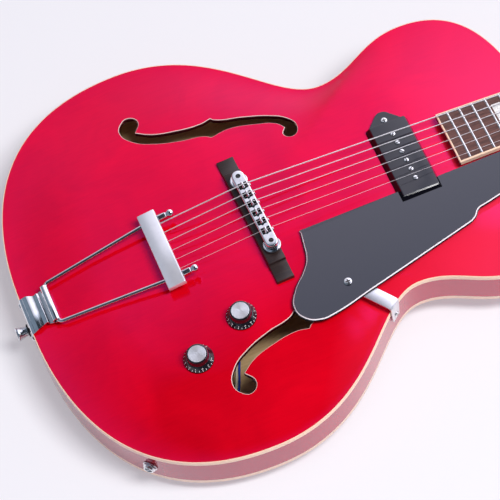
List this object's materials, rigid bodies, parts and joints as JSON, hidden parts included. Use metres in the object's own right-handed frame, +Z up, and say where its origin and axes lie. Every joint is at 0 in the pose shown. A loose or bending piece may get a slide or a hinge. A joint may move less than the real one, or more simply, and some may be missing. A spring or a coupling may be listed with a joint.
{
  "type": "electric archtop guitar",
  "caption": "Hollow-body electric archtop guitar lying on its back, with sound holes, trapeze tailpiece, adjustable bridge, pickup, pickguard, two control knobs and open tuners.",
  "frame": {"origin": "middle of the small flat on the back that the guitar rests on, on the ground", "axes": "+X along the strings towards the head, +Y towards the bass side, +Z up, away from the ground"},
  "size_m": [1.045, 0.4192, 0.0958],
  "materials": {
    "bare_maple": "bare, unfinished",
    "black_gloss": "black, polished",
    "cherry_lacquer": "high gloss lacquer, cherry red",
    "chrome": "polished",
    "cream_binding": "cream, lightly polished",
    "rosewood": "oiled, dark brown",
    "steel": "plain"
  },
  "bodies": {
    "guitar": {"back_binding": "cream_binding", "back_plate": "cherry_lacquer", "bridge_base": "rosewood", "bridge_post_bass": "steel", "bridge_post_treble": "steel", "fingerboard": "rosewood", "fingerboard_binding": "cream_binding", "neck": "cherry_lacquer", "neck_block": "bare_maple", "nut": "cream_binding", "output_jack": "chrome", "pickguard": "black_gloss", "pickguard_bracket": "chrome", "pickup_coil": "black_gloss", "pickup_cover": "black_gloss", "rim": "cherry_lacquer", "strap_button": "chrome", "string_1": "steel", "string_2": "steel", "string_3": "steel", "string_4": "steel", "string_5": "steel", "string_6": "steel", "tail_block": "bare_maple", "tailpiece_hanger": "chrome", "tone_pot": "steel", "top_binding": "cream_binding", "top_plate": "cherry_lacquer", "truss_rod": "steel", "truss_rod_cover": "black_gloss", "tuner_plate_bass": "steel", "tuner_plate_treble": "steel", "volume_pot": "steel", "wiring_loom": "black_gloss"},
    "bridge_top": {"bridge_body": "chrome"},
    "thumbwheel_bass": {"thumbwheel_bass": "chrome"},
    "thumbwheel_treble": {"thumbwheel_treble": "chrome"},
    "saddle_1": {"saddle_1": "chrome"},
    "saddle_2": {"saddle_2": "chrome"},
    "saddle_3": {"saddle_3": "chrome"},
    "saddle_4": {"saddle_4": "chrome"},
    "saddle_5": {"saddle_5": "chrome"},
    "saddle_6": {"saddle_6": "chrome"},
    "trapeze": {"tailpiece_wire": "chrome", "tailpiece_bar": "chrome"},
    "tuner_post_1": {"tuner_post_1": "steel"},
    "tuner_button_1": {"tuner_button_1": "steel"},
    "tuner_post_2": {"tuner_post_2": "steel"},
    "tuner_button_2": {"tuner_button_2": "steel"},
    "tuner_post_3": {"tuner_post_3": "steel"},
    "tuner_button_3": {"tuner_button_3": "steel"},
    "tuner_post_4": {"tuner_post_4": "steel"},
    "tuner_button_4": {"tuner_button_4": "steel"},
    "tuner_post_5": {"tuner_post_5": "steel"},
    "tuner_button_5": {"tuner_button_5": "steel"},
    "tuner_post_6": {"tuner_post_6": "steel"},
    "tuner_button_6": {"tuner_button_6": "steel"},
    "volume_knob": {"volume_knob": "black_gloss"},
    "tone_knob": {"tone_knob": "black_gloss"}
  },
  "joints": [
    {"name": "bridge_height", "type": "slide", "parent": "guitar", "child": "bridge_top", "axis": [-0.0322, 0, 0.9995], "range_m": [-0.0009, 0.0045], "deforming": ["string_1", "string_2", "string_3", "string_4", "string_5", "string_6"]},
    {"name": "thumbwheel_bass_turn", "type": "hinge", "parent": "bridge_top", "child": "thumbwheel_bass", "pos_m": [0.05124, 0.03708, 0.08329], "axis": [-0.0322, 0, 0.9995], "range_deg": [-464, 2316]},
    {"name": "thumbwheel_treble_turn", "type": "hinge", "parent": "bridge_top", "child": "thumbwheel_treble", "pos_m": [0.05344, -0.03708, 0.08336], "axis": [-0.0322, 0, 0.9995], "range_deg": [-464, 2316]},
    {"name": "saddle_1_slide", "type": "slide", "parent": "bridge_top", "child": "saddle_1", "axis": [0.999, 0.0297, 0.0322], "range_m": [-0.0012, 0.0012]},
    {"name": "saddle_2_slide", "type": "slide", "parent": "bridge_top", "child": "saddle_2", "axis": [0.999, 0.0297, 0.0322], "range_m": [-0.0012, 0.0012]},
    {"name": "saddle_3_slide", "type": "slide", "parent": "bridge_top", "child": "saddle_3", "axis": [0.999, 0.0297, 0.0322], "range_m": [-0.0012, 0.0012]},
    {"name": "saddle_4_slide", "type": "slide", "parent": "bridge_top", "child": "saddle_4", "axis": [0.999, 0.0297, 0.0322], "range_m": [-0.0012, 0.0012]},
    {"name": "saddle_5_slide", "type": "slide", "parent": "bridge_top", "child": "saddle_5", "axis": [0.999, 0.0297, 0.0322], "range_m": [-0.0012, 0.0012]},
    {"name": "saddle_6_slide", "type": "slide", "parent": "bridge_top", "child": "saddle_6", "axis": [0.999, 0.0297, 0.0322], "range_m": [-0.0012, 0.0012]},
    {"name": "tailpiece_hinge", "type": "hinge", "parent": "guitar", "child": "trapeze", "pos_m": [-0.14703, 0.0013, 0.06059], "axis": [0, -1, 0], "range_deg": [0, 40]},
    {"name": "tuner_post_1_turn", "type": "hinge", "parent": "guitar", "child": "tuner_post_1", "pos_m": [0.73133, -0.0245, 0.05084], "axis": [0.2748, 0, 0.9615], "continuous": true},
    {"name": "tuner_button_1_turn", "type": "hinge", "parent": "guitar", "child": "tuner_button_1", "pos_m": [0.71649, -0.0245, 0.03459], "axis": [0, -1, 0], "continuous": true},
    {"name": "tuner_post_2_turn", "type": "hinge", "parent": "guitar", "child": "tuner_post_2", "pos_m": [0.76786, -0.0245, 0.0404], "axis": [0.2748, 0, 0.9615], "continuous": true},
    {"name": "tuner_button_2_turn", "type": "hinge", "parent": "guitar", "child": "tuner_button_2", "pos_m": [0.75303, -0.0245, 0.02415], "axis": [0, -1, 0], "continuous": true},
    {"name": "tuner_post_3_turn", "type": "hinge", "parent": "guitar", "child": "tuner_post_3", "pos_m": [0.8044, -0.0245, 0.02995], "axis": [0.2748, 0, 0.9615], "continuous": true},
    {"name": "tuner_button_3_turn", "type": "hinge", "parent": "guitar", "child": "tuner_button_3", "pos_m": [0.78956, -0.0245, 0.0137], "axis": [0, -1, 0], "continuous": true},
    {"name": "tuner_post_4_turn", "type": "hinge", "parent": "guitar", "child": "tuner_post_4", "pos_m": [0.8044, 0.0245, 0.02995], "axis": [0.2748, 0, 0.9615], "continuous": true},
    {"name": "tuner_button_4_turn", "type": "hinge", "parent": "guitar", "child": "tuner_button_4", "pos_m": [0.78956, 0.0245, 0.0137], "axis": [0, 1, 0], "continuous": true},
    {"name": "tuner_post_5_turn", "type": "hinge", "parent": "guitar", "child": "tuner_post_5", "pos_m": [0.76786, 0.0245, 0.0404], "axis": [0.2748, 0, 0.9615], "continuous": true},
    {"name": "tuner_button_5_turn", "type": "hinge", "parent": "guitar", "child": "tuner_button_5", "pos_m": [0.75303, 0.0245, 0.02415], "axis": [0, 1, 0], "continuous": true},
    {"name": "tuner_post_6_turn", "type": "hinge", "parent": "guitar", "child": "tuner_post_6", "pos_m": [0.73133, 0.0245, 0.05084], "axis": [0.2748, 0, 0.9615], "continuous": true},
    {"name": "tuner_button_6_turn", "type": "hinge", "parent": "guitar", "child": "tuner_button_6", "pos_m": [0.71649, 0.0245, 0.03459], "axis": [0, 1, 0], "continuous": true},
    {"name": "volume_turn", "type": "hinge", "parent": "guitar", "child": "volume_knob", "pos_m": [0.00347, -0.0855, 0.06924], "axis": [-0.0499, -0.0522, 0.9974], "range_deg": [-150, 150]},
    {"name": "tone_turn", "type": "hinge", "parent": "guitar", "child": "tone_knob", "pos_m": [-0.04621, -0.1075, 0.06483], "axis": [-0.0782, -0.057, 0.9953], "range_deg": [-150, 150]}
  ],
  "couplings": [
    {"joint": "thumbwheel_bass_turn", "follows": "bridge_height", "rad_per_m": 8976},
    {"joint": "thumbwheel_treble_turn", "follows": "bridge_height", "rad_per_m": 8976},
    {"joint": "tuner_button_1_turn", "follows": "tuner_post_1_turn", "ratio": -14},
    {"joint": "tuner_button_2_turn", "follows": "tuner_post_2_turn", "ratio": -14},
    {"joint": "tuner_button_3_turn", "follows": "tuner_post_3_turn", "ratio": -14},
    {"joint": "tuner_button_4_turn", "follows": "tuner_post_4_turn", "ratio": 14},
    {"joint": "tuner_button_5_turn", "follows": "tuner_post_5_turn", "ratio": 14},
    {"joint": "tuner_button_6_turn", "follows": "tuner_post_6_turn", "ratio": 14}
  ]
}
